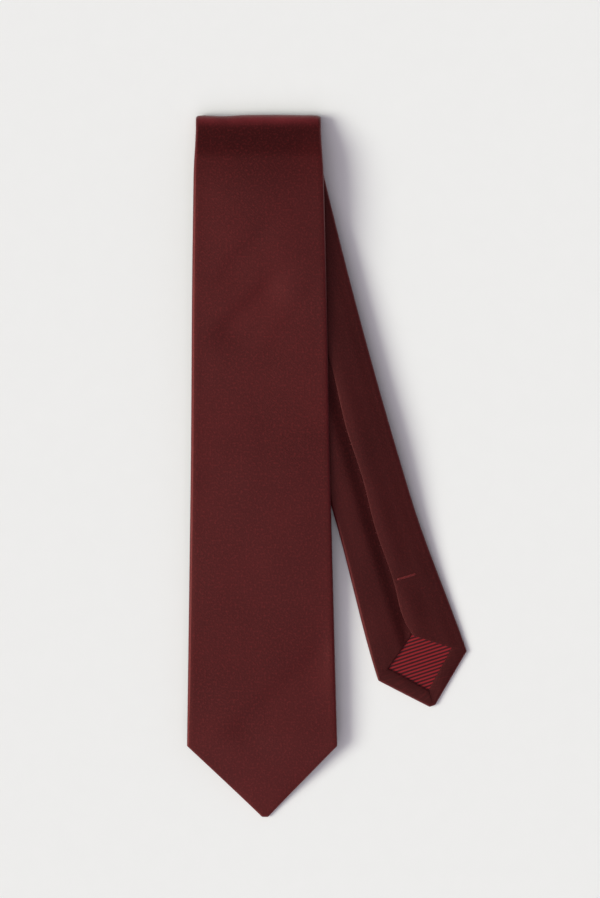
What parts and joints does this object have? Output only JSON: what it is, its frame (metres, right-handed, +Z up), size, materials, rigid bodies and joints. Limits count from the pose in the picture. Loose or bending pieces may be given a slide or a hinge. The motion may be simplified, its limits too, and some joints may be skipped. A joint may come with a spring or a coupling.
{
  "type": "necktie",
  "caption": "Burgundy satin necktie folded in four and laid flat, wide blade face up, narrow tail fanned out from under it with its striped tipping showing.",
  "frame": {"origin": "middle of the bounding box's bottom face, on the surface the tie lies on", "axes": "+Y along the folded tie towards the top fold, +X towards the tail's side, +Z up"},
  "size_m": [0.1491, 0.3748, 0.016],
  "materials": {
    "satin": "satin",
    "interlining_wool": "matte",
    "striped_lining": "satin",
    "silk_thread": "satin",
    "label_tape": "matte"
  },
  "bodies": {
    "neckband": {"outer_fold_shell_lower": "satin", "outer_fold_interlining_lower": "interlining_wool", "blade_shell_lower_run": "satin", "neck_shell": "satin", "tail_shell_upper_run": "satin", "neck_interlining": "interlining_wool", "lower_run_slip_stitch": "silk_thread", "upper_run_slip_stitch": "silk_thread", "inner_fold_shell_lower": "satin", "inner_fold_interlining_lower": "interlining_wool"},
    "front_blade": {"outer_fold_shell_upper": "satin", "outer_fold_interlining_upper": "interlining_wool", "blade_shell": "satin", "blade_interlining": "interlining_wool", "blade_tipping": "striped_lining", "blade_bar_tack": "silk_thread", "blade_slip_stitch": "silk_thread", "keeper_loop": "satin", "keeper_tack_left": "silk_thread", "keeper_tack_right": "silk_thread", "fibre_label": "label_tape"},
    "tail_head": {"inner_fold_shell_upper": "satin", "inner_fold_interlining_upper": "interlining_wool", "tail_head_shell": "satin", "tail_head_interlining": "interlining_wool"},
    "tail": {"tail_shell": "satin", "tail_interlining": "interlining_wool", "tail_tipping": "striped_lining", "tail_bar_tack": "silk_thread", "tail_slip_stitch": "silk_thread"}
  },
  "joints": [
    {"name": "blade_fold", "type": "hinge", "parent": "neckband", "child": "front_blade", "pos_m": [-0.0363, 0.1874, 0.008], "axis": [-1, 0, 0], "range_deg": [0, 179.6]},
    {"name": "tail_fold", "type": "hinge", "parent": "neckband", "child": "tail_head", "pos_m": [-0.02527, 0.16718, 0.008], "axis": [-0.9962, -0.0872, 0], "range_deg": [0, 89.8]},
    {"name": "tail_fan", "type": "hinge", "parent": "tail_head", "child": "tail", "pos_m": [-0.01566, 0.12803, 0.008], "axis": [0, 0, 1], "range_deg": [0, 20]}
  ],
  "couplings": [
    {"joint": "tail_fold", "follows": "blade_fold", "ratio": 0.5}
  ]
}
